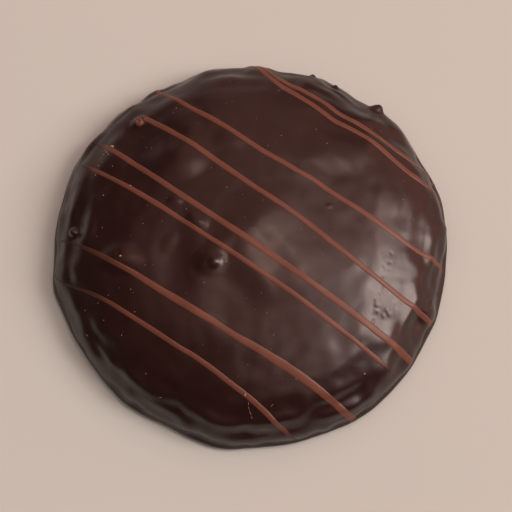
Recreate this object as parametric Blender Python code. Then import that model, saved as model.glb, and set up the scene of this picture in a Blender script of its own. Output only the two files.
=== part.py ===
"""A chocolate-coated lebkuchen: a round gingerbread under dark couverture.

One solid, since coating and biscuit are one piece: a low dome with a rounded
shoulder, a small chocolate foot round its base, and the lumps and hollows that
chopped nuts and air pockets leave in the coating. Metres, +Z up. It stands on its
flat base at z = 0, and the origin is the centre of its outline there.

Run it with: blender --background --python part.py
"""

import math
from bisect import bisect

import bmesh
import bpy
from mathutils import Vector, noise

MM = 0.001

# Driving dimensions
RADIUS = 43.4 * MM  # mean radius of the wall, above the foot
HEIGHT = 17.5 * MM  # base to crown
FOOT_HEIGHT = 2.6 * MM  # the bead of chocolate that ran down to the base
FOOT_REACH = 0.6 * MM  # how far the bead stands out of the wall, on average
FOOT_SPREAD = 0.8  # how much of that reach comes and goes round the base
FOOT_BULGES = 3  # how often it comes and goes, as the radius of the noise
CROWN_POWER = 2.6  # above 2 the crown is flatter and the shoulder tighter
WALL_POWER = 2.0

# Mesh: a square patch on the crown, and rings from it to the base
PATCH_REACH = 26.0 * MM  # half the patch's width, measured over the dome
PATCH_CELLS = 36
RINGS = 22
SHARP_ANGLE = 50  # degrees; the edge between wall and base stays sharp

# The wall's outline swells and dents: (direction in degrees, half-width in
# degrees, height out of the mean radius)
SWELLS = (
    (16, 9, 0.51 * MM),
    (41, 7, 0.89 * MM),
    (56, 5, -0.64 * MM),
    (80, 7, -0.71 * MM),
    (101, 5, 0.42 * MM),
    (113, 5, -0.82 * MM),
    (127, 5, -0.40 * MM),
    (149, 9, 0.77 * MM),
    (191, 5, 0.81 * MM),
    (219, 22, -0.38 * MM),
    (245, 5, -0.38 * MM),
    (262, 7, 0.71 * MM),
    (303, 9, 0.35 * MM),
    (331, 5, -0.32 * MM),
    (349, 12, -0.54 * MM),
)

# Nuts and hollows under the coating, in millimetres: (x, y, half-length, half-width,
# turn in degrees, height), where x and y are measured over the dome from the crown.
# A hollow has a negative height.
LUMPS = (
    # the big nut
    (-8.4, -6.9, 4.2, 3.2, 20, 0.50),
    (-7.7, -6.5, 2.0, 1.6, 35, 0.45),
    # a row of smaller nuts
    (-11.6, 2.8, 3.2, 2.0, -25, 0.36),
    (-16.5, 7.7, 2.3, 1.8, 0, 0.26),
    (-17.6, -1.6, 3.2, 2.2, 60, 0.18),
    # low swellings on the crown, and the hollows between them
    (-0.5, -5.5, 13.0, 6.0, 125, 0.35),
    (1.0, -0.5, 11.5, 9.0, 20, 0.35),
    (2.0, 4.5, 11.0, 8.0, 20, 0.40),
    (12.0, -8.0, 10.5, 8.5, 120, 0.40),
    (18.0, 8.5, 13.0, 9.0, 90, -0.60),
    (-16.5, -5.0, 12.0, 6.0, 90, -0.60),
    (-3.5, -15.5, 9.5, 9.0, 110, -0.65),
    (-8.5, -5.0, 8.0, 3.5, 50, 0.40),
    # the left side: a nut, then a ridge, a recess and a nub
    (-28.5, -4.8, 6.5, 4.5, -15, 0.95),
    (-36.0, 2.6, 5.2, 2.3, 88, 0.35),
    (-39.4, 4.0, 6.0, 3.4, 84, -0.65),
    (-40.6, 2.6, 1.5, 1.4, 0, 1.20),
    # nubs at the shoulder
    (-25.6, 28.6, 2.3, 2.0, 40, 0.75),
    (30.3, 34.9, 2.2, 1.7, -40, 1.50),
    # broad swellings and hollows down the sides
    (-16.5, 17.5, 9.0, 6.5, 20, 0.85),
    (-4.5, 22.5, 5.0, 3.5, 0, 0.25),
    (19.5, 19.5, 9.0, 6.0, -20, 0.35),
    (31.0, -11.0, 10.0, 5.5, 70, -0.22),
    (33.5, -16.0, 8.0, 6.0, 30, -0.40),
    (37.5, -1.5, 10.5, 6.5, 20, -0.35),
    (30.5, 25.5, 9.0, 4.0, -10, -0.50),
    (-25.5, 22.0, 11.5, 7.0, 80, -0.55),
    (25.0, -19.0, 7.0, 4.0, 40, 0.20),
    (24.0, -29.0, 9.0, 3.5, 35, -0.35),
)

# Rolls and creases that run round the shoulder: (direction, half-span in degrees,
# distance over the dome, half-width, height), lengths in millimetres
ROLLS = (
    (221, 13, 44.8, 2.8, -0.45),
    (243, 9, 46.3, 2.4, -0.30),
    (266, 16, 44.2, 2.6, -0.36),
    (120, 9, 45.6, 1.5, 0.45),
    (132, 8, 44.4, 1.3, 0.40),
    (148, 10, 45.4, 1.6, 0.45),
    (163, 9, 45.8, 1.6, -0.40),
    (75, 12, 45.0, 1.6, 0.45),
    (62, 9, 43.6, 1.4, 0.35),
    (333, 6, 44.0, 4.5, -0.70),
    (322, 5, 44.5, 4.0, -0.60),
    (350, 7, 43.5, 3.0, -0.40),
    (5, 6, 45.0, 3.0, 0.40),
    (300, 12, 44.5, 2.0, 0.35),
)

# The coating's waves, calm on the crown and livelier towards the shoulder
WAVE_LENGTH = 22.0 * MM
WAVE_HEIGHT = 0.40 * MM
WAVE_SHIFT = Vector((0, 0, 1.9))  # which slice of the noise the slow waves are cut from
SWIRL_LENGTH = 8.0 * MM
SWIRL_HEIGHT = 0.22 * MM
CALM_SHARE = 0.35  # how much of the waves is left in the middle of the crown
CALM_REACH = 0.6 * RADIUS  # from here outwards they have their full height
RIPPLE_LENGTH = 9.0 * MM
RIPPLE_HEIGHT = 0.65 * MM
RIPPLE_STRETCH = 0.4  # the ripples are tighter down the wall than along the shoulder
SHOULDER_WIDTH = 0.15 * RADIUS  # how far the ripples spread from the shoulder
FLUTE_LENGTH = 4.0 * MM
FLUTE_HEIGHT = 0.50 * MM
FLUTE_STRETCH = 5  # the flutes are long down the wall and narrow along it
FLUTE_START = 0.9 * RADIUS  # the flutes begin this far from the crown
FLUTE_RAMP = 0.15 * RADIUS  # and grow to their full height over this distance


def dome_profile(steps=400):
    """(distance over the dome, radius, height) from the crown down to the base."""
    points = []
    for i in range(steps + 1):
        turn = math.pi / 2 * i / steps
        radius = RADIUS * math.sin(turn) ** (2 / CROWN_POWER)
        fall = max(math.cos(turn), 0.0) ** (2 / WALL_POWER)
        points.append((radius, FOOT_HEIGHT + (HEIGHT - FOOT_HEIGHT) * fall))
    foot_steps = steps // 8
    for i in range(1, foot_steps + 1):
        points.append((RADIUS, FOOT_HEIGHT * (1 - i / foot_steps)))
    rows, distance = [], 0.0
    for i, (radius, height) in enumerate(points):
        if i:
            distance += math.dist(points[i - 1], (radius, height))
        rows.append((distance, radius, height))
    return rows


PROFILE = dome_profile()
DISTANCES = [row[0] for row in PROFILE]
PROFILE_LENGTH = DISTANCES[-1]


def on_profile(distance):
    """Radius, height and outward normal (radial, upward) at a distance from the crown."""
    i = min(max(bisect(DISTANCES, distance), 1), len(PROFILE) - 1)
    d0, r0, h0 = PROFILE[i - 1]
    d1, r1, h1 = PROFILE[i]
    share = min((distance - d0) / (d1 - d0), 1.0)
    run, drop = r1 - r0, h0 - h1
    length = math.hypot(run, drop)
    return r0 + run * share, h0 - drop * share, drop / length, run / length


def turned_off(angle, direction):
    """Degrees from a direction to an angle in radians, between -180 and 180."""
    return (math.degrees(angle) - direction + 180) % 360 - 180


def outline_swell(angle):
    """How far the wall stands out of its mean radius in one direction."""
    total = 0.0
    for centre, half_width, height in SWELLS:
        total += height * math.exp(-((turned_off(angle, centre) / half_width) ** 2))
    return total


def lumps_at(x, y):
    """Height that the nuts and hollows add at (x, y)."""
    total = 0.0
    for cx, cy, half_length, half_width, turn, height in LUMPS:
        dx, dy = x / MM - cx, y / MM - cy
        cos, sin = math.cos(math.radians(turn)), math.sin(math.radians(turn))
        along = (dx * cos + dy * sin) / half_length
        across = (dy * cos - dx * sin) / half_width
        off = along * along + across * across
        if off < 1:
            total += height * MM * (1 - off) ** 2
    return total


def rolls_at(distance, angle):
    """Height that the rolls and creases round the shoulder add."""
    total = 0.0
    for direction, half_span, middle, half_width, height in ROLLS:
        along = turned_off(angle, direction) / half_span
        across = (distance / MM - middle) / half_width
        if abs(along) < 1 and abs(across) < 1:
            total += height * MM * ((1 - along * along) * (1 - across * across)) ** 2
    return total


def round_noise(angle, distance, length, stretch):
    """Noise laid round the wall, longer or shorter down it by the stretch."""
    around = RADIUS / length
    down = distance / (length * stretch)
    return noise.noise(Vector((math.cos(angle) * around, math.sin(angle) * around, down)))


def waves_at(x, y, distance, angle):
    """Height of the waves, the shoulder's ripples and the wall's flutes."""
    here = Vector((x, y, 0))
    total = WAVE_HEIGHT * noise.noise(here / WAVE_LENGTH + WAVE_SHIFT)
    total += SWIRL_HEIGHT * noise.noise(here / SWIRL_LENGTH)
    total *= CALM_SHARE + (1 - CALM_SHARE) * min(distance / CALM_REACH, 1.0) ** 2
    shoulder = math.exp(-(((distance - RADIUS) / SHOULDER_WIDTH) ** 2))
    ripple = round_noise(angle, distance, RIPPLE_LENGTH, RIPPLE_STRETCH)
    wall = min(max((distance - FLUTE_START) / FLUTE_RAMP, 0.0), 1.0)
    flute = round_noise(angle, distance, FLUTE_LENGTH, FLUTE_STRETCH)
    return total + RIPPLE_HEIGHT * shoulder * ripple + FLUTE_HEIGHT * wall * flute


def coated_point(x, y):
    """The point of the coating at (x, y), measured over the dome from the crown."""
    distance = min(math.hypot(x, y), PROFILE_LENGTH)
    angle = math.atan2(y, x)
    radius, height, out, up = on_profile(distance)
    radius += outline_swell(angle) * (radius / RADIUS) ** 2
    above_base = min(height / FOOT_HEIGHT, 1.0)
    around = Vector((math.cos(angle), math.sin(angle), 0)) * FOOT_BULGES
    reach = FOOT_REACH * (1 + FOOT_SPREAD * noise.noise(around))
    radius += reach * math.sin(math.pi * above_base) ** 2
    bump = lumps_at(x, y) + rolls_at(distance, angle) + waves_at(x, y, distance, angle)
    bump *= above_base**2
    radius += bump * out
    return Vector((radius * math.cos(angle), radius * math.sin(angle), height + bump * up))


def square_to_disc(x, y):
    """A point of the square from -1 to 1 moved into the unit disc."""
    return x * math.sqrt(1 - y * y / 2), y * math.sqrt(1 - x * x / 2)


def build_body():
    """The dome as a closed mesh: crown patch, rings down the wall, flat base."""
    bm = bmesh.new()
    bmesh.ops.create_grid(bm, x_segments=PATCH_CELLS, y_segments=PATCH_CELLS, size=1.0)
    for vert in bm.verts:
        x, y = square_to_disc(vert.co.x, vert.co.y)
        vert.co = Vector((x, y, 0)) * PATCH_REACH
    rim = [edge for edge in bm.edges if edge.is_boundary]
    for ring in range(1, RINGS + 1):
        made = bmesh.ops.extrude_edge_only(bm, edges=rim)["geom"]
        verts = {item for item in made if isinstance(item, bmesh.types.BMVert)}
        reach = PATCH_REACH + (PROFILE_LENGTH - PATCH_REACH) * ring / RINGS
        for vert in verts:
            vert.co = vert.co.normalized() * reach
        edges = [item for item in made if isinstance(item, bmesh.types.BMEdge)]
        rim = [edge for edge in edges if all(vert in verts for vert in edge.verts)]
    for vert in bm.verts:
        vert.co = coated_point(vert.co.x, vert.co.y)
    bmesh.ops.contextual_create(bm, geom=rim)
    bmesh.ops.recalc_face_normals(bm, faces=bm.faces)
    centre_on_base(bm)
    return bm


def centre_on_base(bm):
    """Moves the mesh so that the middle of its outline is over the origin."""
    xs = [vert.co.x for vert in bm.verts]
    ys = [vert.co.y for vert in bm.verts]
    middle = Vector(((min(xs) + max(xs)) / 2, (min(ys) + max(ys)) / 2, 0))
    bmesh.ops.translate(bm, verts=bm.verts, vec=-middle)


def dark_couverture():
    """Tempered dark chocolate: nearly black brown, with a soft cocoa-butter shine."""
    material = bpy.data.materials.new("dark_couverture")
    material.use_nodes = True
    shader = material.node_tree.nodes["Principled BSDF"]
    shader.inputs["Base Color"].default_value = (0.030, 0.011, 0.008, 1)
    shader.inputs["Roughness"].default_value = 0.35
    shader.inputs["Metallic"].default_value = 0.0
    return material


def main():
    for obj in list(bpy.data.objects):
        bpy.data.objects.remove(obj)
    bm = build_body()
    mesh = bpy.data.meshes.new("coated_lebkuchen")
    bm.to_mesh(mesh)
    bm.free()
    mesh.materials.append(dark_couverture())
    mesh.shade_smooth()
    mesh.set_sharp_from_angle(angle=math.radians(SHARP_ANGLE))
    body = bpy.data.objects.new("coated_lebkuchen", mesh)
    bpy.context.scene.collection.objects.link(body)


main()
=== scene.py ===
"""The looks of a chocolate-coated lebkuchen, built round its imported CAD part.

The coat is modelled as an enrober leaves it: dark couverture poured over a round
gingerbread, with nuts and air pockets showing through as lumps, rolls and ripples
round the shoulder and a small uneven foot where the chocolate ran down. Thin lines of
milk chocolate are drizzled over it, and a few crumbs and specks have stuck to it.
Metres, +Z up.
"""

import math
import random
from bisect import bisect

import bmesh
import bpy
from bpy.props import FloatProperty, FloatVectorProperty, IntProperty, PointerProperty
from mathutils import Matrix, Vector, noise


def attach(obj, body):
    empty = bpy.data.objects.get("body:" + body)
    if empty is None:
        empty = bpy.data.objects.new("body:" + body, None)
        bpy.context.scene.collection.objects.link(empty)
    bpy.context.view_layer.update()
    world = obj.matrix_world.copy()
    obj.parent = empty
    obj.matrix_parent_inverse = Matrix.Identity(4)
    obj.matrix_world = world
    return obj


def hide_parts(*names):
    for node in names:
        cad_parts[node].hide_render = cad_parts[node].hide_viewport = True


bl_info = {
    "name": "Coated Lebkuchen",
    "version": (1, 0, 0),
    "blender": (4, 5, 0),
    "location": "3D View > Sidebar > Lebkuchen",
    "description": "Builds a chocolate-coated lebkuchen with drizzled lines and its studio",
    "category": "Add Mesh",
}

MM = 0.001
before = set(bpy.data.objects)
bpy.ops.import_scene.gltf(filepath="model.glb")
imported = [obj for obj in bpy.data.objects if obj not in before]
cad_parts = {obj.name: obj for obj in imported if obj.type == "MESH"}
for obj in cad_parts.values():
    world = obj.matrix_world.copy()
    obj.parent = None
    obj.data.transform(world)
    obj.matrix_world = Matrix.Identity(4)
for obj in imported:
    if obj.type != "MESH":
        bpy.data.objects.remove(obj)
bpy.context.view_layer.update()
BODY = "root"
CAD_NODE = "coated_lebkuchen"

# The outline swells and dents: (direction in degrees, half-width in degrees, height)
SWELLS = (
    (16, 9, 0.51 * MM),
    (41, 7, 0.89 * MM),
    (56, 5, -0.64 * MM),
    (80, 7, -0.71 * MM),
    (101, 5, 0.42 * MM),
    (113, 5, -0.82 * MM),
    (127, 5, -0.40 * MM),
    (149, 9, 0.77 * MM),
    (191, 5, 0.81 * MM),
    (219, 22, -0.38 * MM),
    (245, 5, -0.38 * MM),
    (262, 7, 0.71 * MM),
    (303, 9, 0.35 * MM),
    (331, 5, -0.32 * MM),
    (349, 12, -0.54 * MM),
)

# Nuts and hollows under the coat, in millimetres: (x, y, half-length, half-width, turn in
# degrees, height), where x and y are measured over the dome from the crown. A hollow has a
# negative height.
LUMPS = (
    # the big nut and the hollow beside it
    (-8.4, -6.9, 4.2, 3.2, 20, 0.50),
    (-7.7, -6.5, 2.0, 1.6, 35, 0.45),
    (-11.8, -8.2, 2.6, 2.0, 70, -0.12),
    # smaller nuts and a hollow on the left of the crown, and a nub on its right
    (-11.6, 2.8, 3.2, 2.0, -25, 0.36),
    (-14.6, 4.9, 2.2, 1.6, 0, -0.08),
    (-16.5, 7.7, 2.3, 1.8, 0, 0.26),
    (-17.6, -1.6, 3.2, 2.2, 60, 0.18),
    (17.2, 6.6, 0.9, 0.8, 0, 0.15),
    # low swellings on the crown, and the hollows between them
    (-0.5, -5.5, 13.0, 6.0, 125, 0.35),
    (1.0, -0.5, 11.5, 9.0, 20, 0.35),
    (2.0, 4.5, 11.0, 8.0, 20, 0.40),
    (12.0, -8.0, 10.5, 8.5, 120, 0.40),
    (18.0, 8.5, 13.0, 9.0, 90, -0.60),
    (-16.5, -5.0, 12.0, 6.0, 90, -0.60),
    (-3.5, -15.5, 9.5, 9.0, 110, -0.65),
    (-8.5, -5.0, 8.0, 3.5, 50, 0.40),
    # the left side: a nut, then a ridge, a recess and a nub
    (-28.5, -4.8, 6.5, 4.5, -15, 0.95),
    (-36.0, 2.6, 5.2, 2.3, 88, 0.35),
    (-39.4, 4.0, 6.0, 3.4, 84, -0.65),
    (-40.6, 2.6, 1.5, 1.4, 0, 1.20),
    # nubs at the shoulder
    (-25.6, 28.6, 2.3, 2.0, 40, 0.75),
    (30.3, 34.9, 2.2, 1.7, -40, 1.50),
    (15.0, 43.6, 1.3, 1.0, -20, 0.70),
    (20.8, 41.4, 1.2, 0.9, -25, 0.60),
    # broad swellings and hollows down the sides
    (-16.5, 17.5, 9.0, 6.5, 20, 0.85),
    (-4.5, 22.5, 5.0, 3.5, 0, 0.25),
    (19.5, 19.5, 9.0, 6.0, -20, 0.35),
    (31.0, -11.0, 10.0, 5.5, 70, -0.22),
    (33.5, -16.0, 8.0, 6.0, 30, -0.40),
    (37.5, -1.5, 10.5, 6.5, 20, -0.35),
    (30.5, 25.5, 9.0, 4.0, -10, -0.50),
    (-25.5, 22.0, 11.5, 7.0, 80, -0.55),
    # upright folds on the right
    (28.0, 9.0, 4.5, 1.8, 80, 0.08),
    (32.2, 8.0, 4.5, 1.7, 80, 0.09),
    (36.6, 6.8, 5.0, 1.6, 75, 0.10),
    # a swelling and a hollow at the lower right
    (25.0, -19.0, 7.0, 4.0, 40, 0.20),
    (24.0, -29.0, 9.0, 3.5, 35, -0.35),
    # short ridges on the right shoulder
    (41.6, -13.2, 1.7, 0.6, 60, 0.16),
    (42.8, -13.8, 1.5, 0.6, 50, 0.16),
)

# Rolls and creases that run round the shoulder: (direction, half-span in degrees, distance
# over the dome, half-width, height), lengths in millimetres
ROLLS = (
    (221, 13, 44.8, 2.8, -0.45),
    (243, 9, 46.3, 2.4, -0.30),
    (266, 16, 44.2, 2.6, -0.36),
    (120, 9, 45.6, 1.5, 0.45),
    (132, 8, 44.4, 1.3, 0.40),
    (148, 10, 45.4, 1.6, 0.45),
    (163, 9, 45.8, 1.6, -0.40),
    (75, 12, 45.0, 1.6, 0.45),
    (62, 9, 43.6, 1.4, 0.35),
    (333, 6, 44.0, 4.5, -0.70),
    (322, 5, 44.5, 4.0, -0.60),
    (350, 7, 43.5, 3.0, -0.40),
    (5, 6, 45.0, 3.0, 0.40),
    (300, 12, 44.5, 2.0, 0.35),
)

# How the relief is laid over the dome. Reaches and widths here are shares of its radius.
CALM_SHARE = 0.35  # how much of the waves is left in the middle of the crown
CALM_REACH = 0.6  # from here outwards they have their full height
SHOULDER_WIDTH = 0.15  # how far the ripples spread from the shoulder
SHOULDER_DIMPLES = 1.2  # how much the small waves grow on the shoulder
RIPPLE_STRETCH = 0.4  # the ripples are tighter down the wall than along the shoulder
FLUTE_START = 0.9  # the flutes begin this far from the crown
FLUTE_RAMP = 0.15  # and grow to their full height over this distance
FLUTE_STRETCH = 5  # they are long down the wall and narrow along it
FOOT_SPREAD = 0.8  # how much of the foot's reach comes and goes round the base
FOOT_BULGES = 3  # how often it comes and goes, as the radius of the noise
WAVE_SLICE = Vector((0, 0, 1.9))  # which slice of the noise the slow waves are cut from
DIMPLE_SLICE = Vector((0, 0, 4))  # and which the small waves are

# Clusters of small pits where the coat tore as it set, in millimetres: (x, y, half-length,
# half-width, turn in degrees, how many pits)
PIT_FIELDS = (
    (27.6, -16.8, 3.4, 1.0, 75, 16),
    (30.6, -17.2, 2.8, 1.2, 50, 12),
    (30.2, -6.6, 2.6, 0.8, 65, 8),
    (-29.6, -4.0, 1.4, 0.9, 0, 6),
)
PIT_SIZES = (0.35, 0.75)  # half-width of the smallest and the largest pit, in millimetres
PIT_LENGTH = 1.3  # a pit's length, for its width
PIT_DEPTH = 0.13  # a pit's depth, for its half-width
PIT_SEED = 11

# Each drizzled line, in millimetres: its width near its first and last end, how far it
# takes to come up to that width at either end, and its route over the dome
LINES = {
    "a": (1.2, 1.0, 1.5, 1.5, ((0.6, 48.6), (1.8, 45.6), (8.2, 39.0), (15.7, 33.6),
                               (23.3, 28.4), (30.9, 23.2), (39.2, 19.2), (48.0, 18.1))),
    "b": (1.3, 1.1, 1.5, 1.5, ((-2.2, 48.8), (0.0, 45.9), (6.2, 38.5), (14.0, 31.9),
                               (22.3, 26.0), (30.7, 20.2), (39.2, 14.6), (49.0, 12.9))),
    "c": (1.1, 1.2, 1.5, 1.5, ((-24.1, 42.6), (-21.1, 37.3), (-10.1, 28.5), (1.3, 20.3),
                               (13.1, 12.9), (24.8, 5.2), (36.9, -1.6), (50.0, -5.6))),
    "d": (1.2, 1.2, 1.0, 1.5, ((-24.8, 29.0), (-23.4, 28.7), (-12.9, 21.1), (-1.4, 12.3),
                               (10.4, 4.0), (21.8, -4.9), (33.7, -13.2), (46.2, -19.9))),
    "e": (1.1, 1.7, 5.0, 1.5, ((-37.0, 25.5), (-31.2, 21.3), (-19.6, 12.3), (-7.7, 3.7),
                               (4.3, -4.8), (16.4, -13.2), (28.5, -21.6), (40.9, -29.5))),
    "f": (1.0, 1.2, 5.0, 5.0, ((-39.3, 19.4), (-26.5, 11.2), (-14.7, 3.0), (-2.9, -5.1),
                               (8.9, -13.2), (20.5, -21.7), (32.6, -30.4))),
    "g": (1.1, 2.0, 22.0, 1.5, ((-46.5, 1.1), (-43.5, 1.1), (-31.2, -4.8), (-19.8, -12.3),
                                (-8.2, -19.5), (3.3, -26.5), (14.7, -34.0), (26.6, -43.8))),
    "h": (1.0, 1.2, 22.0, 7.0, ((-47.8, -5.6), (-43.7, -8.5), (-33.5, -13.4), (-23.9, -19.6),
                                (-14.5, -25.8), (-5.0, -32.0), (3.5, -39.5), (12.2, -49.2))),
}
SLOW_SWAY = 0.22  # how much a line's width comes and goes slowly, as a share of it
SLOW_SWAY_LENGTH = 14 * MM
QUICK_SWAY = 0.08  # and quickly
QUICK_SWAY_LENGTH = 3 * MM
THIN_END = 0.1  # how wide and high a line's very end is, as a share of the rest

# The round drop that line d began with. Its heights and its dent are shares of its radius.
DROP = (-25.4, 28.1)  # its place, in millimetres over the dome
DROP_RADIUS = 0.95 * MM
DROP_RISE = 0.38
DROP_SINK = 0.25
DENT_DEPTH = 0.42
DENT_REACH = 0.35

# Crumbs and scuffs stuck to the coat, in millimetres: (x, y, length, width, turn in degrees)
CRUMBS = (
    # crumbs at the upper left
    (-31.3, 22.3, 1.10, 0.60, -35),
    (-32.4, 20.9, 0.45, 0.35, 0),
    (-32.9, 21.6, 0.30, 0.25, 40),
    (-31.9, 20.2, 0.32, 0.22, 80),
    (-33.2, 20.5, 0.28, 0.22, 10),
    # single crumbs
    (-28.0, -4.6, 0.50, 0.40, 20),
    (-1.2, -35.2, 0.70, 0.40, 70),
    (25.4, -30.5, 0.42, 0.36, 0),
    (-26.5, 11.8, 0.42, 0.30, 10),
    (-34.9, 15.5, 0.40, 0.20, 60),
    (-32.9, 10.2, 0.36, 0.20, 20),
    # thin scuffs
    (-0.5, -37.2, 1.00, 0.08, -85),
    (-0.4, -38.2, 1.00, 0.07, -80),
    (-0.1, -39.3, 1.20, 0.09, -74),
    (0.2, -40.4, 0.70, 0.08, -70),
    (2.7, -38.8, 0.90, 0.07, 60),
    (4.7, -37.7, 0.80, 0.07, 50),
    (-20.4, -36.2, 0.90, 0.09, 5),
    (-38.1, -21.6, 0.90, 0.08, -40),
)
CRUMB_CORNERS = (0.75, 1.15)  # how far in or out a crumb's corners stand, as a share of it
CRUMB_HEIGHT = 0.7  # a crumb's height, for its width
CRUMB_LIFT = 0.15  # how high a crumb's middle is over the coat, for its width
SPECK_LENGTH = 1.3  # a speck's length, for its width
DUST_REACH = 0.9  # how far down the coat the specks lie, as a share of the way to the base

SHARP_ANGLE = 60  # degrees; the edge between wall and base stays sharp

# The materials: the width of each pattern, and how each surface takes the light
COAT_CLOUD = 9 * MM
COAT_BLOTCH = 3.5 * MM
COAT_PEEL = 1.6 * MM
PEEL_HEIGHT = 0.05 * MM
PEEL_STRENGTH = 0.25
COAT_SHINY, COAT_DULL = 0.27, 0.36  # roughness of the shiniest and the dullest blotches
COAT_IOR = 1.55
LINE_CLOUD = 4 * MM
LINE_ROUGHNESS = 0.45
LINE_IOR = 1.46
CRUMB_GRAIN = 0.8 * MM
CRUMB_ROUGHNESS = 0.8
BOARD_ROUGHNESS = 0.9
COVER = "cover"  # the drizzle's attribute for how fully it hides the coat, from 0 to 1

# The studio. Lengths are in metres, and light tints are linear red, green and blue.
FLOOR_HALF_WIDTH = 1.5
FLOOR_GAP = 0.03 * MM  # keeps the floor's face off the biscuit's base
SURROUND = (1.0, 0.80, 0.70)
SURROUND_STRENGTH = 0.06
COOL = (1.0, 0.81, 0.75)
MILD = (1.0, 0.66, 0.57)
WARM = (1.0, 0.50, 0.40)
DEEP = (1.0, 0.42, 0.32)
PANEL_DISTANCE = 2.5  # from the biscuit to the light panels
# Each light panel spans the sky from one direction to another, and directions are (degrees
# from straight up, degrees from +X towards +Y): (name, from, to, width in degrees,
# brightness beside a white sheet lit by a strength of one, tint)
PANELS = (
    ("key", (31, 7), (62, -11), 22, 9.4, COOL),
    ("key_side", (31, 25), (54, 30), 15, 2.6, MILD),
    ("key_low", (23, -13), (36, -37), 34, 1.5, MILD),
    ("right_wall", (64, 12), (88, 15), 80, 1.0, DEEP),
    ("back_wall", (70, 120), (88, 120), 80, 0.6, MILD),
    ("ceiling", (18, 235), (30, 76), 52, 0.30, WARM),
    ("ceiling_back", (30, 76), (66, 72), 52, 0.58, WARM),
    ("ceiling_lamp", (13, 60), (17, 45), 12, 14.0, MILD),
)
FILL = ("fill", (50, 180), (50, 0), 100, 0.46, COOL)

CAMERA_LENS = 174.7  # millimetres, before a sensor of the width below
CAMERA_SENSOR = 36.0
CAMERA_TILT = 16  # degrees off straight down
CAMERA_DISTANCE = 0.55
CAMERA_TARGET = Vector((1.15, -1.88, 6.0)) * MM  # from the foot of the dome's axis


def dome_profile(shape, steps=400, foot_steps=50):
    """(distance over the dome, radius, height) from the crown down to the base."""
    points = []
    for i in range(steps + 1):
        turn = math.pi / 2 * i / steps
        radius = shape.radius * math.sin(turn) ** (2 / shape.crown_power)
        fall = max(math.cos(turn), 0.0) ** (2 / shape.wall_power)
        points.append((radius, shape.foot_height + (shape.height - shape.foot_height) * fall))
    for i in range(1, foot_steps + 1):
        points.append((shape.radius, shape.foot_height * (1 - i / foot_steps)))
    rows, distance = [], 0.0
    for i, (radius, height) in enumerate(points):
        if i:
            distance += math.dist(points[i - 1], (radius, height))
        rows.append((distance, radius, height))
    return rows


def turned_off(angle, direction):
    """Degrees from a direction to an angle in radians, between -180 and 180."""
    return (math.degrees(angle) - direction + 180) % 360 - 180


def outline_swell(angle):
    """How far the wall stands out of its mean radius in one direction."""
    total = 0.0
    for centre, half_width, height in SWELLS:
        total += height * math.exp(-((turned_off(angle, centre) / half_width) ** 2))
    return total


def round_noise(angle, distance, radius, length, stretch):
    """Noise laid round the wall, longer or shorter down it by the stretch."""
    around = radius / length
    down = distance / (length * stretch)
    return noise.noise(Vector((math.cos(angle) * around, math.sin(angle) * around, down)))


def scattered_pits():
    """The pits of all fields as lumps: (x, y, half-length, half-width, turn, height)."""
    draw = random.Random(PIT_SEED)
    pits = []
    for x, y, half_length, half_width, turn, count in PIT_FIELDS:
        cos, sin = math.cos(math.radians(turn)), math.sin(math.radians(turn))
        for _ in range(count):
            along = draw.gauss(0, half_length / 2)
            across = draw.gauss(0, half_width / 2)
            size = draw.uniform(*PIT_SIZES)
            place = (x + along * cos - across * sin, y + along * sin + across * cos)
            pit_turn = draw.uniform(0, 180)
            pits.append((*place, size * PIT_LENGTH, size, pit_turn, -PIT_DEPTH * size))
    return pits


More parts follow.
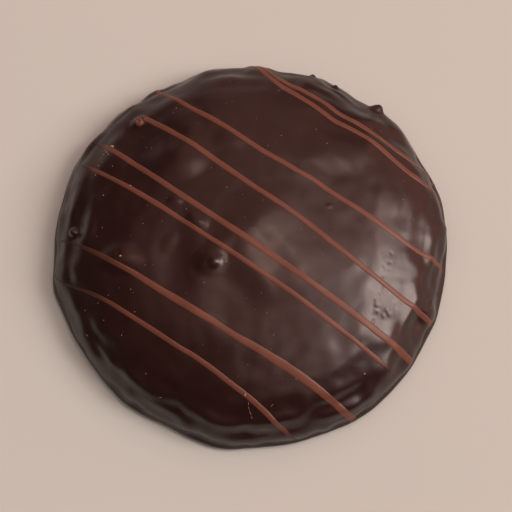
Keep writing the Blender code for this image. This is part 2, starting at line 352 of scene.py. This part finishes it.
class Coat:
    """The coat's outer surface, addressed by (x, y) measured over the dome from the crown."""

    def __init__(self, shape):
        self.shape = shape
        self.profile = dome_profile(shape)
        self.distances = [row[0] for row in self.profile]
        self.length = self.distances[-1]
        self.lumps = [*LUMPS, *scattered_pits()]
        self.middle = Vector((0, 0, 0))  # until the outline has been measured
        self.middle = self.outline_middle()

    def outline_middle(self, rows=12, row_gap=0.4 * MM):
        """The middle of the outline's box, which the finished pieces have over the origin.

        The outline is where the lowest few rows of points stand out the furthest."""
        rim = []
        for degree in range(360):
            outward = Vector((math.cos(math.radians(degree)), math.sin(math.radians(degree)), 0))
            for row in range(rows):
                flat = outward * (self.length - row * row_gap)
                rim.append(self.point(flat.x, flat.y))
        xs = [point.x for point in rim]
        ys = [point.y for point in rim]
        return Vector(((min(xs) + max(xs)) / 2, (min(ys) + max(ys)) / 2, 0))

    def on_profile(self, distance):
        """Radius, height and outward normal (radial, upward) at a distance from the crown."""
        i = min(max(bisect(self.distances, distance), 1), len(self.profile) - 1)
        d0, r0, h0 = self.profile[i - 1]
        d1, r1, h1 = self.profile[i]
        share = min((distance - d0) / (d1 - d0), 1.0)
        run, drop = r1 - r0, h0 - h1
        length = math.hypot(run, drop)
        return r0 + run * share, h0 - drop * share, drop / length, run / length

    def lumps_at(self, x, y):
        """Height that the nuts, hollows and pits add at (x, y)."""
        total = 0.0
        for cx, cy, half_length, half_width, turn, height in self.lumps:
            dx, dy = x / MM - cx, y / MM - cy
            if abs(dx) > half_length or abs(dy) > half_length:
                continue
            cos, sin = math.cos(math.radians(turn)), math.sin(math.radians(turn))
            along = (dx * cos + dy * sin) / half_length
            across = (dy * cos - dx * sin) / half_width
            off = along * along + across * across
            if off < 1:
                total += height * MM * (1 - off) ** 2
        return total

    def rolls_at(self, distance, angle):
        """Height that the rolls and creases round the shoulder add."""
        total = 0.0
        for direction, half_span, middle, half_width, height in ROLLS:
            along = turned_off(angle, direction) / half_span
            across = (distance / MM - middle) / half_width
            if abs(along) < 1 and abs(across) < 1:
                total += height * MM * ((1 - along * along) * (1 - across * across)) ** 2
        return total

    def waves_at(self, x, y, distance, angle):
        """Height of the waves, the shoulder's ripples and the wall's flutes."""
        shape = self.shape
        here = Vector((x, y, 0))
        off_shoulder = (distance - shape.radius) / (SHOULDER_WIDTH * shape.radius)
        shoulder = math.exp(-(off_shoulder**2))
        total = shape.wave_height * noise.noise(here / shape.wave_length + WAVE_SLICE)
        total += shape.swirl_height * noise.noise(here / shape.swirl_length)
        dimple = noise.noise(here / shape.dimple_length + DIMPLE_SLICE)
        total += shape.dimple_height * (1 + SHOULDER_DIMPLES * shoulder) * dimple
        from_crown = min(distance / (CALM_REACH * shape.radius), 1.0)
        total *= CALM_SHARE + (1 - CALM_SHARE) * from_crown**2
        ripple = round_noise(angle, distance, shape.radius, shape.ripple_length, RIPPLE_STRETCH)
        total += shape.ripple_height * shoulder * ripple
        wall = min(max((distance / shape.radius - FLUTE_START) / FLUTE_RAMP, 0.0), 1.0)
        flute = round_noise(angle, distance, shape.radius, shape.flute_length, FLUTE_STRETCH)
        return total + shape.flute_height * wall * flute

    def point(self, x, y, lift=0.0):
        """The point of the coat at (x, y), lifted off it along the dome's normal."""
        shape = self.shape
        distance = min(math.hypot(x, y), self.length)
        angle = math.atan2(y, x)
        radius, height, out, up = self.on_profile(distance)
        radius += outline_swell(angle) * (radius / shape.radius) ** 2
        above_base = min(height / shape.foot_height, 1.0)
        around = Vector((math.cos(angle), math.sin(angle), 0)) * FOOT_BULGES
        reach = shape.foot_reach * (1 + FOOT_SPREAD * noise.noise(around))
        radius += reach * math.sin(math.pi * above_base) ** 2
        bump = self.lumps_at(x, y) + self.rolls_at(distance, angle)
        bump += self.waves_at(x, y, distance, angle)
        bump = bump * above_base**2 + lift
        radius += bump * out
        place = Vector((radius * math.cos(angle), radius * math.sin(angle), height + bump * up))
        return place - self.middle

    def seat(self, x, y, near=0.2 * MM):
        """The turn and place that stand a small thing upright on the coat at (x, y)."""
        east = self.point(x + near, y) - self.point(x - near, y)
        north = self.point(x, y + near) - self.point(x, y - near)
        up = east.cross(north).normalized()
        side = up.cross(east).normalized()
        turned = Matrix((side.cross(up), side, up)).transposed().to_4x4()
        return Matrix.Translation(self.point(x, y)) @ turned


def square_to_disc(x, y):
    """A point of the square from -1 to 1 moved into the unit disc."""
    return x * math.sqrt(1 - y * y / 2), y * math.sqrt(1 - x * x / 2)


def extrude_ring(bm, rim):
    """Extrudes a boundary loop and returns the new vertices and the new boundary."""
    made = bmesh.ops.extrude_edge_only(bm, edges=rim)["geom"]
    verts = {item for item in made if isinstance(item, bmesh.types.BMVert)}
    edges = [item for item in made if isinstance(item, bmesh.types.BMEdge)]
    return verts, [edge for edge in edges if all(vert in verts for vert in edge.verts)]


def build_coat_mesh(coat, cells, rings, patch_reach=26 * MM, base_rings=8):
    """The coat as a closed mesh: crown patch, rings down the wall, rings under the base."""
    bm = bmesh.new()
    bmesh.ops.create_grid(bm, x_segments=cells, y_segments=cells, size=1.0)
    for vert in bm.verts:
        x, y = square_to_disc(vert.co.x, vert.co.y)
        vert.co = Vector((x, y, 0)) * patch_reach
    rim = [edge for edge in bm.edges if edge.is_boundary]
    for ring in range(1, rings + 1):
        verts, rim = extrude_ring(bm, rim)
        reach = patch_reach + (coat.length - patch_reach) * ring / rings
        for vert in verts:
            vert.co = vert.co.normalized() * reach
    for vert in bm.verts:
        vert.co = coat.point(vert.co.x, vert.co.y)
    # evenly spaced rings run in under the base, to a small face in its middle
    for ring in range(1, base_rings + 1):
        verts, rim = extrude_ring(bm, rim)
        shrink = 1 - 1 / (base_rings + 1.5 - ring)
        for vert in verts:
            vert.co = vert.co * shrink
    bmesh.ops.contextual_create(bm, geom=rim)
    bmesh.ops.recalc_face_normals(bm, faces=bm.faces)
    return bm


def smooth_route(points, step, span_steps=80):
    """Points every step along a smooth curve through the given points."""
    points = [Vector((x * MM, y * MM)) for x, y in points]
    padded = [points[0] * 2 - points[1], *points, points[-1] * 2 - points[-2]]
    dense = []
    for p0, p1, p2, p3 in zip(padded, padded[1:], padded[2:], padded[3:]):
        for k in range(span_steps):
            t = k / span_steps
            bend = 2 * p0 - 5 * p1 + 4 * p2 - p3
            twist = 3 * p1 - p0 - 3 * p2 + p3
            dense.append((2 * p1 + (p2 - p0) * t + bend * t**2 + twist * t**3) / 2)
    dense.append(points[-1])
    route, left = [dense[0]], step
    for start, end in zip(dense, dense[1:]):
        span = (end - start).length
        while left <= span:
            start = start + (end - start) * (left / span)
            route.append(start)
            span = (end - start).length
            left = step
        left -= span
    return route


def extrude_bead(bm, sides, count):
    """Extrudes a closed bead and returns its rings in order, each still a unit circle."""
    upright = Matrix.Rotation(math.pi / 2, 4, "Y")
    start = bmesh.ops.create_circle(bm, cap_ends=True, segments=sides, radius=1.0, matrix=upright)
    ring = set(start["verts"])
    rim = [edge for edge in bm.edges if all(vert in ring for vert in edge.verts)]
    bead = [ring]
    for _ in range(count - 1):
        ring, rim = extrude_ring(bm, rim)
        bead.append(ring)
    bmesh.ops.contextual_create(bm, geom=rim)
    return bead


def sway(name, travel):
    """How much wider than usual a line is after some travel, as a share of its width."""
    seed = Vector((0, 0, 10.0 * ord(name)))
    slow = noise.noise(seed + Vector((travel / SLOW_SWAY_LENGTH, 0, 0)))
    quick = noise.noise(seed + Vector((travel / QUICK_SWAY_LENGTH, 5, 0)))
    return SLOW_SWAY * slow + QUICK_SWAY * quick


def build_line(bm, coat, name, line, drizzle):
    """One drizzled line: a straight bead is extruded, then laid along its route on the coat."""
    first_width, last_width, first_taper, last_taper, points = line
    route = smooth_route(points, drizzle.step)
    bead = extrude_bead(bm, drizzle.sides, len(route))
    cover = bm.verts.layers.float[COVER]
    last = len(route) - 1
    for i, (here, ring) in enumerate(zip(route, bead)):
        along = (route[min(i + 1, last)] - route[max(i - 1, 0)]).normalized()
        side = Vector((-along.y, along.x))
        travel, to_go = i * drizzle.step, (last - i) * drizzle.step
        fullness = min(travel / (first_taper * MM), to_go / (last_taper * MM), 1.0)
        taper = THIN_END + (1 - THIN_END) * math.sqrt(fullness)
        width = first_width + (last_width - first_width) * i / last
        half = width * MM / 2 * (1 + sway(name, travel)) * taper
        for vert in ring:
            vert[cover] = fullness**2
            spot = here + side * vert.co.y * half
            rise = drizzle.rise * taper if vert.co.z > 0 else drizzle.sink
            vert.co = coat.point(spot.x, spot.y, vert.co.z * rise)


def build_drop(bm, coat):
    """The round drop that a line began with: a flat bead with a dent in its middle."""
    middle_x, middle_y = DROP[0] * MM, DROP[1] * MM
    made = bmesh.ops.create_uvsphere(bm, u_segments=24, v_segments=16, radius=1.0)["verts"]
    cover = bm.verts.layers.float[COVER]
    for vert in made:
        vert[cover] = 1.0
        dent = math.exp(-((math.hypot(vert.co.x, vert.co.y) / DENT_REACH) ** 2))
        lift = DROP_SINK * vert.co.z
        if vert.co.z > 0:
            lift = DROP_RISE * vert.co.z - DENT_DEPTH * dent
        x, y = middle_x + vert.co.x * DROP_RADIUS, middle_y + vert.co.y * DROP_RADIUS
        vert.co = coat.point(x, y, lift * DROP_RADIUS)


def build_crumb(bm, coat, x, y, length, width, turn, draw, rounds=2):
    """One crumb: an uneven ball, stretched, turned and sunk a little into the coat."""
    made = bmesh.ops.create_icosphere(bm, subdivisions=rounds, radius=0.5)["verts"]
    for vert in made:
        vert.co *= draw.uniform(*CRUMB_CORNERS)
    flat = Matrix.Diagonal((length * MM, width * MM, CRUMB_HEIGHT * width * MM, 1.0))
    stand = Matrix.Translation((0, 0, CRUMB_LIFT * width * MM))
    turned = Matrix.Rotation(math.radians(turn), 4, "Z")
    bmesh.ops.transform(bm, verts=made, matrix=coat.seat(x, y) @ turned @ stand @ flat)


def finish_mesh(bm, name, material):
    """Turns a bmesh into a smooth-shaded piece that rides on the biscuit."""
    mesh = bpy.data.meshes.new(name)
    bm.to_mesh(mesh)
    bm.free()
    mesh.materials.append(material)
    mesh.shade_smooth()
    mesh.set_sharp_from_angle(angle=math.radians(SHARP_ANGLE))
    piece = bpy.data.objects.new(name, mesh)
    bpy.context.scene.collection.objects.link(piece)
    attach(piece, BODY)
    return piece


def linear(hex_colour):
    """An sRGB hex colour as linear RGB."""
    channels = [int(hex_colour[i : i + 2], 16) / 255 for i in (1, 3, 5)]
    return tuple(c / 12.92 if c <= 0.04045 else ((c + 0.055) / 1.055) ** 2.4 for c in channels)


def feed(material, node, inputs):
    """Gives each named socket of a node its value, or links the socket that feeds it."""
    for name, value in inputs.items():
        if isinstance(value, bpy.types.NodeSocket):
            material.node_tree.links.new(value, node.inputs[name])
        else:
            node.inputs[name].default_value = value


def add_node(material, kind, inputs=None, **settings):
    """Adds a shader node with its settings, values and links."""
    added = material.node_tree.nodes.new(kind)
    for name, value in settings.items():
        setattr(added, name, value)
    feed(material, added, inputs or {})
    return added


def new_material(name):
    """A material, its shader and the object coordinates its patterns are laid out in."""
    material = bpy.data.materials.new(name)
    material.use_nodes = True
    place = add_node(material, "ShaderNodeTexCoord").outputs["Object"]
    return material, material.node_tree.nodes["Principled BSDF"], place


def dark_couverture(look):
    """Tempered dark chocolate: a nearly black red-brown under a soft cocoa-butter shine.

    Clouds about a centimetre wide keep the brown from looking flat. Blotches make the shine
    a little duller in places, as bloom and handling do, and a faint orange peel softens the
    edges of the reflections. Real bloom and orange peel are finer; both are drawn a few
    times as coarse, so that they show in a picture of the whole biscuit."""
    material, shader, place = new_material("dark_couverture")
    clouds = add_node(
        material,
        "ShaderNodeTexNoise",
        {"Vector": place, "Scale": 1 / COAT_CLOUD, "Detail": 3.0, "Roughness": 0.55},
    ).outputs["Fac"]
    colour = add_node(
        material,
        "ShaderNodeMix",
        {"Factor": clouds, "A": (*look.coat_dark, 1.0), "B": (*look.coat_light, 1.0)},
        data_type="RGBA",
    ).outputs["Result"]
    blotches = add_node(
        material,
        "ShaderNodeTexNoise",
        {"Vector": place, "Scale": 1 / COAT_BLOTCH, "Detail": 4.0, "Roughness": 0.6},
    ).outputs["Fac"]
    rough = add_node(
        material,
        "ShaderNodeMapRange",
        {
            "Value": blotches,
            "From Min": 0.3,
            "From Max": 0.7,
            "To Min": COAT_SHINY,
            "To Max": COAT_DULL,
        },
    ).outputs["Result"]
    peel = add_node(
        material,
        "ShaderNodeTexNoise",
        {"Vector": place, "Scale": 1 / COAT_PEEL, "Detail": 2.0},
    ).outputs["Fac"]
    bump = add_node(
        material,
        "ShaderNodeBump",
        {"Height": peel, "Strength": PEEL_STRENGTH, "Distance": PEEL_HEIGHT},
    ).outputs["Normal"]
    feed(
        material,
        shader,
        {"Base Color": colour, "Roughness": rough, "IOR": COAT_IOR, "Normal": bump},
    )
    return material


def milk_chocolate(look):
    """Milk chocolate: a warm red-brown, duller than the coat because it set in the air.

    Clouds a few millimetres wide make each line a little lighter and darker along its way.
    Where a line runs out it is thin, and the dark coat shows through."""
    material, shader, place = new_material("milk_chocolate")
    clouds = add_node(
        material,
        "ShaderNodeTexNoise",
        {"Vector": place, "Scale": 1 / LINE_CLOUD, "Detail": 3.0},
    ).outputs["Fac"]
    colour = add_node(
        material,
        "ShaderNodeMix",
        {"Factor": clouds, "A": (*look.line_dark, 1.0), "B": (*look.line_light, 1.0)},
        data_type="RGBA",
    ).outputs["Result"]
    cover = add_node(material, "ShaderNodeAttribute", attribute_name=COVER).outputs["Fac"]
    seen = add_node(
        material,
        "ShaderNodeMix",
        {"Factor": cover, "A": (*look.coat_light, 1.0), "B": colour},
        data_type="RGBA",
    ).outputs["Result"]
    feed(material, shader, {"Base Color": seen, "Roughness": LINE_ROUGHNESS, "IOR": LINE_IOR})
    return material


def baked_crumb(look):
    """Gingerbread and nut crumbs: pale, dry and matt.

    A grain a little under a millimetre wide makes some crumbs paler than others."""
    material, shader, place = new_material("baked_crumb")
    grain = add_node(
        material,
        "ShaderNodeTexNoise",
        {"Vector": place, "Scale": 1 / CRUMB_GRAIN, "Detail": 2.0},
    ).outputs["Fac"]
    colour = add_node(
        material,
        "ShaderNodeMix",
        {"Factor": grain, "A": (*look.crumb_dark, 1.0), "B": (*look.crumb_light, 1.0)},
        data_type="RGBA",
    ).outputs["Result"]
    feed(material, shader, {"Base Color": colour, "Roughness": CRUMB_ROUGHNESS})
    return material


def painted_board(look):
    """A pale painted board: plain and matt, so that nothing on it draws the eye."""
    material, shader, _ = new_material("painted_board")
    feed(material, shader, {"Base Color": (*look.floor, 1.0), "Roughness": BOARD_ROUGHNESS})
    return material


class DomeShape(bpy.types.PropertyGroup):
    """The form of the coated dome"""

    radius: FloatProperty(
        name="Radius", description="Mean radius of the wall", default=43.4 * MM, unit="LENGTH"
    )
    height: FloatProperty(
        name="Height", description="Base to crown", default=17.5 * MM, unit="LENGTH"
    )
    foot_height: FloatProperty(
        name="Foot height",
        description="Height of the bead at the base",
        default=2.6 * MM,
        unit="LENGTH",
    )
    foot_reach: FloatProperty(
        name="Foot reach",
        description="How far the bead stands out",
        default=0.6 * MM,
        unit="LENGTH",
    )
    crown_power: FloatProperty(name="Crown power", description="Flatness of the crown", default=2.6)
    wall_power: FloatProperty(name="Wall power", description="Squareness of the wall", default=2.0)
    wave_length: FloatProperty(
        name="Wave length", description="Length of the slow waves", default=22 * MM, unit="LENGTH"
    )
    wave_height: FloatProperty(
        name="Wave height", description="Height of the slow waves", default=0.40 * MM, unit="LENGTH"
    )
    swirl_length: FloatProperty(
        name="Swirl length",
        description="Length of the middle waves",
        default=8 * MM,
        unit="LENGTH",
    )
    swirl_height: FloatProperty(
        name="Swirl height",
        description="Height of the middle waves",
        default=0.22 * MM,
        unit="LENGTH",
    )
    dimple_length: FloatProperty(
        name="Dimple length",
        description="Length of the small waves",
        default=3.4 * MM,
        unit="LENGTH",
    )
    dimple_height: FloatProperty(
        name="Dimple height",
        description="Height of the small waves",
        default=0.08 * MM,
        unit="LENGTH",
    )
    ripple_length: FloatProperty(
        name="Ripple length",
        description="Length of the shoulder's ripples",
        default=9 * MM,
        unit="LENGTH",
    )
    ripple_height: FloatProperty(
        name="Ripple height",
        description="Height of the shoulder's ripples",
        default=0.65 * MM,
        unit="LENGTH",
    )
    flute_length: FloatProperty(
        name="Flute length",
        description="Spacing of the wall's upright flutes",
        default=4 * MM,
        unit="LENGTH",
    )
    flute_height: FloatProperty(
        name="Flute height",
        description="Height of the wall's upright flutes",
        default=0.50 * MM,
        unit="LENGTH",
    )
    cells: IntProperty(name="Cells", description="Mesh cells across the crown", default=150)
    rings: IntProperty(name="Rings", description="Mesh rings down the wall", default=90)


class Drizzle(bpy.types.PropertyGroup):
    """How the milk chocolate lines lie on the coat"""

    step: FloatProperty(
        name="Step", description="Mesh step along a line", default=0.4 * MM, unit="LENGTH"
    )
    rise: FloatProperty(
        name="Rise", description="Height of a line over the coat", default=0.10 * MM, unit="LENGTH"
    )
    sink: FloatProperty(
        name="Sink", description="Depth of a line in the coat", default=0.15 * MM, unit="LENGTH"
    )
    sides: IntProperty(name="Sides", description="Mesh faces round a line", default=12)


class Dust(bpy.types.PropertyGroup):
    """The specks on the coat"""

    specks: IntProperty(name="Specks", description="How many specks lie on the coat", default=150)
    smallest: FloatProperty(
        name="Smallest", description="Width of the smallest speck", default=0.10 * MM, unit="LENGTH"
    )
    largest: FloatProperty(
        name="Largest", description="Width of the largest speck", default=0.24 * MM, unit="LENGTH"
    )
    seed: IntProperty(name="Seed", description="Places the specks", default=5)


class Look(bpy.types.PropertyGroup):
    """The colours"""

    coat_dark: FloatVectorProperty(
        name="Coat dark",
        description="Darker tone of the couverture",
        default=linear("#1c0a08"),
        subtype="COLOR",
    )
    coat_light: FloatVectorProperty(
        name="Coat light",
        description="Lighter tone of the couverture",
        default=linear("#26100d"),
        subtype="COLOR",
    )
    line_dark: FloatVectorProperty(
        name="Line dark",
        description="Darker tone of the milk chocolate",
        default=linear("#5a3327"),
        subtype="COLOR",
    )
    line_light: FloatVectorProperty(
        name="Line light",
        description="Lighter tone of the milk chocolate",
        default=linear("#6b4030"),
        subtype="COLOR",
    )
    crumb_dark: FloatVectorProperty(
        name="Crumb dark",
        description="Darker tone of the crumbs",
        default=linear("#6e4d3f"),
        subtype="COLOR",
    )
    crumb_light: FloatVectorProperty(
        name="Crumb light",
        description="Lighter tone of the crumbs",
        default=linear("#b3998a"),
        subtype="COLOR",
    )
    floor: FloatVectorProperty(
        name="Floor", description="The table top", default=linear("#bcc4c0"), subtype="COLOR"
    )


class LEBKUCHEN_OT_coat(bpy.types.Operator):
    """Builds the coated biscuit, which stands for the CAD solid"""

    bl_idname = "lebkuchen.coat"
    bl_label = "Coated Biscuit"

    def execute(self, context):
        shape = context.scene.lebkuchen_dome
        bm = build_coat_mesh(Coat(shape), shape.cells, shape.rings)
        material = dark_couverture(context.scene.lebkuchen_look)
        piece = finish_mesh(bm, "coat", material)
        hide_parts(CAD_NODE)
        return {"FINISHED"}


class LEBKUCHEN_OT_drizzle(bpy.types.Operator):
    """Lays the milk chocolate lines over the coat"""

    bl_idname = "lebkuchen.drizzle"
    bl_label = "Drizzled Lines"

    def execute(self, context):
        coat = Coat(context.scene.lebkuchen_dome)
        bm = bmesh.new()
        bm.verts.layers.float.new(COVER)
        for name, line in LINES.items():
            build_line(bm, coat, name, line, context.scene.lebkuchen_drizzle)
        build_drop(bm, coat)
        bmesh.ops.recalc_face_normals(bm, faces=bm.faces)
        finish_mesh(bm, "drizzle", milk_chocolate(context.scene.lebkuchen_look))
        return {"FINISHED"}


class LEBKUCHEN_OT_crumbs(bpy.types.Operator):
    """Scatters the crumbs and specks that stuck to the coat"""

    bl_idname = "lebkuchen.crumbs"
    bl_label = "Crumbs and Specks"

    def execute(self, context):
        coat = Coat(context.scene.lebkuchen_dome)
        dust = context.scene.lebkuchen_dust
        draw = random.Random(dust.seed)
        bm = bmesh.new()
        for x, y, length, width, turn in CRUMBS:
            build_crumb(bm, coat, x * MM, y * MM, length, width, turn, draw)
        for _ in range(dust.specks):
            reach = DUST_REACH * coat.length * math.sqrt(draw.random())
            angle = draw.uniform(0, 2 * math.pi)
            x, y = reach * math.cos(angle), reach * math.sin(angle)
            width = draw.uniform(dust.smallest, dust.largest) / MM
            length = width * SPECK_LENGTH
            build_crumb(bm, coat, x, y, length, width, draw.uniform(0, 180), draw, rounds=1)
        finish_mesh(bm, "crumbs", baked_crumb(context.scene.lebkuchen_look))
        return {"FINISHED"}


def add_floor(look):
    """A plain board that the biscuit lies on."""
    bm = bmesh.new()
    bmesh.ops.create_grid(bm, x_segments=1, y_segments=1, size=FLOOR_HALF_WIDTH)
    bmesh.ops.translate(bm, verts=bm.verts, vec=Vector((0, 0, -FLOOR_GAP)))
    mesh = bpy.data.meshes.new("floor")
    bm.to_mesh(mesh)
    bm.free()
    mesh.materials.append(painted_board(look))
    floor = bpy.data.objects.new("floor", mesh)
    bpy.context.scene.collection.objects.link(floor)


def set_surround():
    """The dim, warm light that comes from all round the room."""
    world = bpy.data.worlds.new("studio")
    world.use_nodes = True
    background = world.node_tree.nodes["Background"]
    background.inputs["Color"].default_value = (*SURROUND, 1.0)
    background.inputs["Strength"].default_value = SURROUND_STRENGTH
    bpy.context.scene.world = world


def direction(zenith, azimuth):
    """The direction at an angle from straight up, turned from +X towards +Y, in degrees."""
    z, a = math.radians(zenith), math.radians(azimuth)
    return Vector((math.sin(z) * math.cos(a), math.sin(z) * math.sin(a), math.cos(z)))


def add_panel(name, start, end, width, radiance, tint):
    """A soft light panel that spans the sky from start to end and looks at the biscuit."""
    start, end = direction(*start), direction(*end)
    toward = (start + end).normalized()
    along = (end - start).normalized()
    across = toward.cross(along)
    light = bpy.data.lights.new(name, "AREA")
    light.shape = "RECTANGLE"
    light.size = math.tan(start.angle(end) / 2) * 2 * PANEL_DISTANCE
    light.size_y = math.tan(math.radians(width) / 2) * 2 * PANEL_DISTANCE
    light.energy = radiance * math.pi * light.size * light.size_y
    light.color = tint
    lamp = bpy.data.objects.new(name, light)
    turned = Matrix((along, across, toward)).transposed().to_4x4()
    turned.translation = toward * PANEL_DISTANCE
    lamp.matrix_world = turned
    lamp.visible_camera = False
    bpy.context.scene.collection.objects.link(lamp)
    return lamp


def add_camera(shape):
    """The camera, nearly overhead and a little in front of the biscuit."""
    camera = bpy.data.cameras.new("camera")
    camera.lens = CAMERA_LENS
    camera.sensor_width = CAMERA_SENSOR
    eye = bpy.data.objects.new("camera", camera)
    tilt = math.radians(CAMERA_TILT)
    back = Vector((0, -math.sin(tilt), math.cos(tilt)))
    eye.location = CAMERA_TARGET - Coat(shape).middle + back * CAMERA_DISTANCE
    eye.rotation_mode = "QUATERNION"
    eye.rotation_quaternion = back.to_track_quat("Z", "Y")
    bpy.context.scene.collection.objects.link(eye)
    bpy.context.scene.camera = eye


class LEBKUCHEN_OT_stage(bpy.types.Operator):
    """Sets the floor, the lights and the camera"""

    bl_idname = "lebkuchen.stage"
    bl_label = "Studio Stage"

    def execute(self, context):
        add_floor(context.scene.lebkuchen_look)
        set_surround()
        for panel in PANELS:
            add_panel(*panel)
        fill = add_panel(*FILL)
        fill.visible_glossy = False  # it lifts the shadows, and leaves the sheens to the rest
        add_camera(context.scene.lebkuchen_dome)
        context.scene.view_settings.view_transform = "Standard"
        context.scene.view_settings.look = "None"
        return {"FINISHED"}


class LEBKUCHEN_PT_panel(bpy.types.Panel):
    """Lists the lebkuchen's pieces in the sidebar"""

    bl_label = "Lebkuchen"
    bl_space_type = "VIEW_3D"
    bl_region_type = "UI"
    bl_category = "Lebkuchen"

    def draw(self, context):
        for operator in OPERATORS:
            self.layout.operator(operator.bl_idname)


OPERATORS = (LEBKUCHEN_OT_coat, LEBKUCHEN_OT_drizzle, LEBKUCHEN_OT_crumbs, LEBKUCHEN_OT_stage)
CLASSES = (DomeShape, Drizzle, Dust, Look, *OPERATORS, LEBKUCHEN_PT_panel)


def register():
    for cls in CLASSES:
        bpy.utils.register_class(cls)
    bpy.types.Scene.lebkuchen_dome = PointerProperty(type=DomeShape)
    bpy.types.Scene.lebkuchen_drizzle = PointerProperty(type=Drizzle)
    bpy.types.Scene.lebkuchen_dust = PointerProperty(type=Dust)
    bpy.types.Scene.lebkuchen_look = PointerProperty(type=Look)


def unregister():
    del bpy.types.Scene.lebkuchen_look
    del bpy.types.Scene.lebkuchen_dust
    del bpy.types.Scene.lebkuchen_drizzle
    del bpy.types.Scene.lebkuchen_dome
    for cls in reversed(CLASSES):
        bpy.utils.unregister_class(cls)


def main():
    register()
    bpy.ops.lebkuchen.coat()
    bpy.ops.lebkuchen.drizzle()
    bpy.ops.lebkuchen.crumbs()
    bpy.ops.lebkuchen.stage()


if __name__ == "__main__":
    main()
